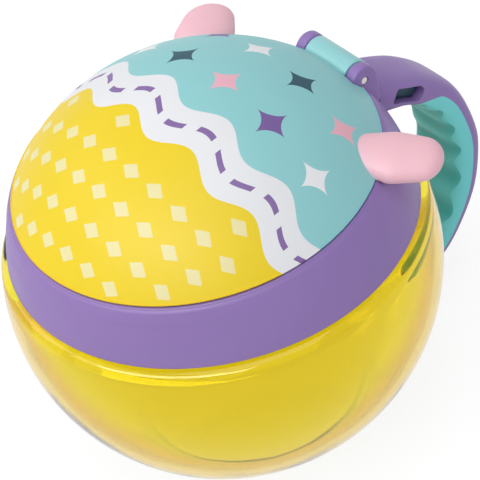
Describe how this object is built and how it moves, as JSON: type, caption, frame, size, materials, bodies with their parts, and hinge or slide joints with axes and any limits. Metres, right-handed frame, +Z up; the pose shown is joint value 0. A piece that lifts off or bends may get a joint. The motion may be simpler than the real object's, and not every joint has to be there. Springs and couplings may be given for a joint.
{
  "type": "toddler snack container",
  "caption": "Ball-shaped clear snack cup with a screw collar, flip-top dome lid, soft slit closure, soft ears and a C-shaped carrying handle.",
  "frame": {"origin": "middle of the cup's flat resting face, on the table", "axes": "+Z up along the ball's and the screw's axis; the front faces -Y; the lid's hinge and the handle are at +Y; +X is the right-hand side seen from above with the handle away from the viewer"},
  "size_m": [0.096, 0.1167, 0.0895],
  "materials": {
    "clear_yellow": "clear moulded plastic tinted yellow, polished",
    "purple_plastic": "satin moulded purple",
    "teal_plastic": "satin moulded pale teal with a printed pattern",
    "white_plastic": "satin moulded white",
    "white_silicone": "soft translucent white seal",
    "teal_silicone": "soft matte teal",
    "teal_rubber": "soft matte teal over-moulding",
    "pink_rubber": "soft matte pink",
    "steel": "drawn steel pin"
  },
  "bodies": {
    "cup": {"cup_shell": "clear_yellow"},
    "gasket": {"collar_seal": "white_silicone"},
    "collar": {"collar": "purple_plastic", "flap_ring": "teal_silicone", "hinge_pin": "steel", "handle_frame": "purple_plastic", "handle_grip": "teal_rubber"},
    "lid": {"lid_dome": "teal_plastic", "lid_liner": "white_plastic", "lid_seal": "white_silicone", "ear_left": "pink_rubber", "ear_right": "pink_rubber"},
    "flap_1_body": {"flap_1": "teal_silicone"},
    "flap_2_body": {"flap_2": "teal_silicone"},
    "flap_3_body": {"flap_3": "teal_silicone"},
    "flap_4_body": {"flap_4": "teal_silicone"},
    "flap_5_body": {"flap_5": "teal_silicone"},
    "flap_6_body": {"flap_6": "teal_silicone"},
    "flap_7_body": {"flap_7": "teal_silicone"},
    "flap_8_body": {"flap_8": "teal_silicone"}
  },
  "joints": [
    {"name": "collar_lift", "type": "slide", "parent": "cup", "child": "gasket", "axis": [0, 0, 1], "range_m": [0, 0.004]},
    {"name": "collar_turn", "type": "hinge", "parent": "gasket", "child": "collar", "pos_m": [0, 0, 0.061], "axis": [0, 0, 1], "range_deg": [0, 120]},
    {"name": "lid_hinge", "type": "hinge", "parent": "collar", "child": "lid", "pos_m": [0, 0.03896, 0.0706], "axis": [-1, 0, 0], "range_deg": [0, 120]},
    {"name": "flap_1_bend", "type": "hinge", "parent": "collar", "child": "flap_1_body", "pos_m": [0.02714, 0, 0.0613], "axis": [0, -1, 0], "range_deg": [0, 75], "stiffness_Nm_per_rad": 0.008},
    {"name": "flap_2_bend", "type": "hinge", "parent": "collar", "child": "flap_2_body", "pos_m": [0.01919, 0.01919, 0.0613], "axis": [0.7071, -0.7071, 0], "range_deg": [0, 75], "stiffness_Nm_per_rad": 0.008},
    {"name": "flap_3_bend", "type": "hinge", "parent": "collar", "child": "flap_3_body", "pos_m": [0, 0.02714, 0.0613], "axis": [1, 0, 0], "range_deg": [0, 75], "stiffness_Nm_per_rad": 0.008},
    {"name": "flap_4_bend", "type": "hinge", "parent": "collar", "child": "flap_4_body", "pos_m": [-0.01919, 0.01919, 0.0613], "axis": [0.7071, 0.7071, 0], "range_deg": [0, 75], "stiffness_Nm_per_rad": 0.008},
    {"name": "flap_5_bend", "type": "hinge", "parent": "collar", "child": "flap_5_body", "pos_m": [-0.02714, 0, 0.0613], "axis": [0, 1, 0], "range_deg": [0, 75], "stiffness_Nm_per_rad": 0.008},
    {"name": "flap_6_bend", "type": "hinge", "parent": "collar", "child": "flap_6_body", "pos_m": [-0.01919, -0.01919, 0.0613], "axis": [-0.7071, 0.7071, 0], "range_deg": [0, 75], "stiffness_Nm_per_rad": 0.008},
    {"name": "flap_7_bend", "type": "hinge", "parent": "collar", "child": "flap_7_body", "pos_m": [0, -0.02714, 0.0613], "axis": [-1, 0, 0], "range_deg": [0, 75], "stiffness_Nm_per_rad": 0.008},
    {"name": "flap_8_bend", "type": "hinge", "parent": "collar", "child": "flap_8_body", "pos_m": [0.01919, -0.01919, 0.0613], "axis": [-0.7071, -0.7071, 0], "range_deg": [0, 75], "stiffness_Nm_per_rad": 0.008}
  ],
  "couplings": [
    {"joint": "collar_turn", "follows": "collar_lift", "rad_per_m": 523.59}
  ]
}
